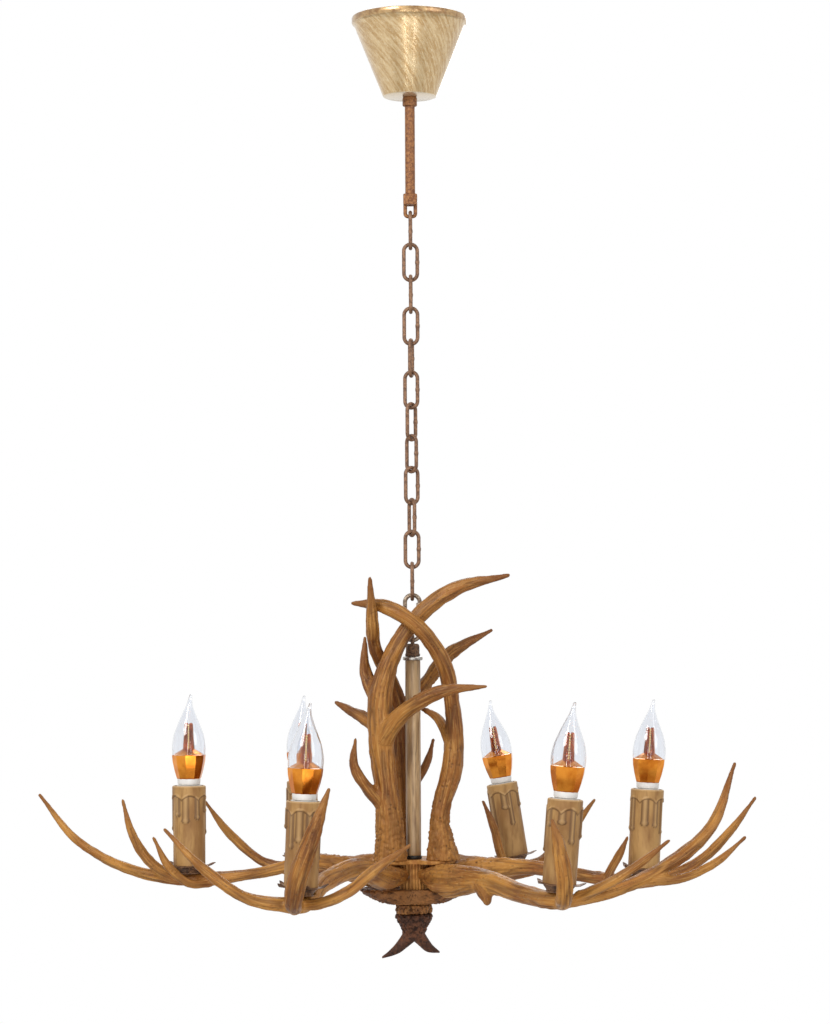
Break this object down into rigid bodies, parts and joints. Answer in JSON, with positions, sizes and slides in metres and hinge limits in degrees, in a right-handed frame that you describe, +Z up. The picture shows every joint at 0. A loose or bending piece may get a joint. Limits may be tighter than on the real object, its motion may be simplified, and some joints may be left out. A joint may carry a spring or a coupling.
{
  "type": "antler chandelier",
  "caption": "Ceiling chandelier: conical canopy, rod and link chain carry a hub of branching antlers with upright candle lights and flame bulbs.",
  "frame": {"origin": "middle of the crossbar's upper face, on the ceiling plane and the chandelier's hanging axis", "axes": "+Z up into the ceiling, +X to the right and +Y away from a viewer who sees the light as in the picture"},
  "size_m": [0.7519, 0.5876, 0.9852],
  "materials": {
    "bar_zinc": "zinc-plated steel strip",
    "earth_brass": "brass screw",
    "terminal_white": "white plastic",
    "rust_paint": "rusty brown paint, satin",
    "canopy_gold": "brushed champagne gold paint",
    "link_zinc": "zinc-plated steel, dull",
    "cap_iron": "dark speckled casting",
    "washer_steel": "dull steel",
    "stem_wood": "grey-beige wood grain",
    "inner_steel": "plain steel",
    "hub_brown": "dark brown cast resin",
    "tray_bronze": "dark bronze paint",
    "antler_horn": "cast resin with antler grain, satin",
    "holder_white": "white heat-resistant plastic",
    "candle_wax": "beige candle with wax drips",
    "bulb_copper": "polished copper-gold cup",
    "bulb_glass": "clear glass"
  },
  "bodies": {
    "ceiling_mount": {"crossbar": "bar_zinc", "earth_screw": "earth_brass", "terminal_block": "terminal_white", "rod_lock_nut": "bar_zinc", "suspension_rod": "rust_paint", "rod_loop": "rust_paint", "loop_set_screw": "rust_paint"},
    "canopy": {"canopy_cup": "canopy_gold", "canopy_collar": "rust_paint", "collar_set_screw": "rust_paint"},
    "chain_link_01": {"link_01": "rust_paint"},
    "chain_link_02": {"link_02": "rust_paint"},
    "chain_link_03": {"link_03": "rust_paint"},
    "chain_link_04": {"link_04": "rust_paint"},
    "chain_link_05": {"link_05": "rust_paint"},
    "chain_link_06": {"link_06": "rust_paint"},
    "chain_link_07": {"link_07": "rust_paint"},
    "chain_link_08": {"link_08": "rust_paint"},
    "chain_link_09": {"link_09": "rust_paint"},
    "chain_link_10": {"link_10": "rust_paint"},
    "chain_link_11": {"link_11": "rust_paint"},
    "chain_link_12": {"link_12": "rust_paint"},
    "screw_link": {"quick_link": "link_zinc"},
    "screw_link_sleeve": {"quick_link_nut": "link_zinc"},
    "fixture": {"stem_cap": "cap_iron", "stem_washers": "washer_steel", "stem_tube": "stem_wood", "tie_rod": "inner_steel", "hub_core": "hub_brown", "hub_bowl": "hub_brown", "burr_ring": "hub_brown", "hub_nut": "inner_steel", "finial": "hub_brown", "antler_screws": "inner_steel", "lower_antler_a": "antler_horn", "lower_antler_b": "antler_horn", "lower_antler_c": "antler_horn", "lower_antler_d": "antler_horn", "lower_antler_e": "antler_horn", "lower_antler_f": "antler_horn", "upper_antler_a": "antler_horn", "upper_antler_b": "antler_horn", "upper_antler_c": "antler_horn", "tray_cups": "tray_bronze", "drip_trays": "tray_bronze", "candle_nipples": "inner_steel", "lamp_holders": "holder_white", "candle_sleeves": "candle_wax"},
    "bulb_1": {"bulb_base_1": "bulb_copper", "bulb_glass_1": "bulb_glass"},
    "bulb_2": {"bulb_base_2": "bulb_copper", "bulb_glass_2": "bulb_glass"},
    "bulb_3": {"bulb_base_3": "bulb_copper", "bulb_glass_3": "bulb_glass"},
    "bulb_4": {"bulb_base_4": "bulb_copper", "bulb_glass_4": "bulb_glass"},
    "bulb_5": {"bulb_base_5": "bulb_copper", "bulb_glass_5": "bulb_glass"},
    "bulb_6": {"bulb_base_6": "bulb_copper", "bulb_glass_6": "bulb_glass"}
  },
  "joints": [
    {"name": "canopy_slide", "type": "slide", "parent": "ceiling_mount", "child": "canopy", "axis": [0, 0, -1], "range_m": [0, 0.08]},
    {"name": "link_01_swing", "type": "hinge", "parent": "ceiling_mount", "child": "chain_link_01", "pos_m": [0, 0, -0.208], "axis": [1, 0, 0], "range_deg": [-30, 30]},
    {"name": "link_02_swing", "type": "hinge", "parent": "chain_link_01", "child": "chain_link_02", "pos_m": [0, 0, -0.2414], "axis": [0, -1, 0], "range_deg": [-30, 30]},
    {"name": "link_03_swing", "type": "hinge", "parent": "chain_link_02", "child": "chain_link_03", "pos_m": [0, 0, -0.2748], "axis": [-1, 0, 0], "range_deg": [-30, 30]},
    {"name": "link_04_swing", "type": "hinge", "parent": "chain_link_03", "child": "chain_link_04", "pos_m": [0, 0, -0.3082], "axis": [0, 1, 0], "range_deg": [-30, 30]},
    {"name": "link_05_swing", "type": "hinge", "parent": "chain_link_04", "child": "chain_link_05", "pos_m": [0, 0, -0.3416], "axis": [-1, 0, 0], "range_deg": [-30, 30]},
    {"name": "link_06_swing", "type": "hinge", "parent": "chain_link_05", "child": "chain_link_06", "pos_m": [0, 0, -0.375], "axis": [0.1736, 0.9848, 0], "range_deg": [-30, 30]},
    {"name": "link_07_swing", "type": "hinge", "parent": "chain_link_06", "child": "chain_link_07", "pos_m": [0, 0, -0.4084], "axis": [0.9397, -0.342, 0], "range_deg": [-30, 30]},
    {"name": "link_08_swing", "type": "hinge", "parent": "chain_link_07", "child": "chain_link_08", "pos_m": [0, 0, -0.4418], "axis": [-0.6018, -0.7986, 0], "range_deg": [-30, 30]},
    {"name": "link_09_swing", "type": "hinge", "parent": "chain_link_08", "child": "chain_link_09", "pos_m": [0, 0, -0.4752], "axis": [0.7071, -0.7071, 0], "range_deg": [-30, 30]},
    {"name": "link_10_swing", "type": "hinge", "parent": "chain_link_09", "child": "chain_link_10", "pos_m": [0, 0, -0.5086], "axis": [0.8988, 0.4384, 0], "range_deg": [-30, 30]},
    {"name": "link_11_swing", "type": "hinge", "parent": "chain_link_10", "child": "chain_link_11", "pos_m": [0, 0, -0.542], "axis": [-0.4067, 0.9135, 0], "range_deg": [-30, 30]},
    {"name": "link_12_swing", "type": "hinge", "parent": "chain_link_11", "child": "chain_link_12", "pos_m": [0, 0, -0.5754], "axis": [-1, 0, 0], "range_deg": [-30, 30]},
    {"name": "screw_link_swing", "type": "hinge", "parent": "chain_link_12", "child": "screw_link", "pos_m": [0, 0, -0.6088], "axis": [0, -1, 0], "range_deg": [-15, 15]},
    {"name": "screw_link_sleeve_travel", "type": "slide", "parent": "screw_link", "child": "screw_link_sleeve", "axis": [0, 0, -1], "range_m": [0, 0.009]},
    {"name": "fixture_swing", "type": "hinge", "parent": "screw_link", "child": "fixture", "pos_m": [0, 0, -0.65185], "axis": [1, 0, 0], "range_deg": [-10, 10]},
    {"name": "bulb_1_lift", "type": "slide", "parent": "fixture", "child": "bulb_1", "axis": [0, 0, 1], "range_m": [0, 0.02]},
    {"name": "bulb_2_lift", "type": "slide", "parent": "fixture", "child": "bulb_2", "axis": [0.0436, 0, 0.999], "range_m": [0, 0.02]},
    {"name": "bulb_3_lift", "type": "slide", "parent": "fixture", "child": "bulb_3", "axis": [-0.1564, 0, 0.9877], "range_m": [0, 0.02]},
    {"name": "bulb_4_lift", "type": "slide", "parent": "fixture", "child": "bulb_4", "axis": [0.0785, 0, 0.9969], "range_m": [0, 0.02]},
    {"name": "bulb_5_lift", "type": "slide", "parent": "fixture", "child": "bulb_5", "axis": [0.0523, 0, 0.9986], "range_m": [0, 0.02]},
    {"name": "bulb_6_lift", "type": "slide", "parent": "fixture", "child": "bulb_6", "axis": [0, 0, 1], "range_m": [0, 0.02]}
  ]
}
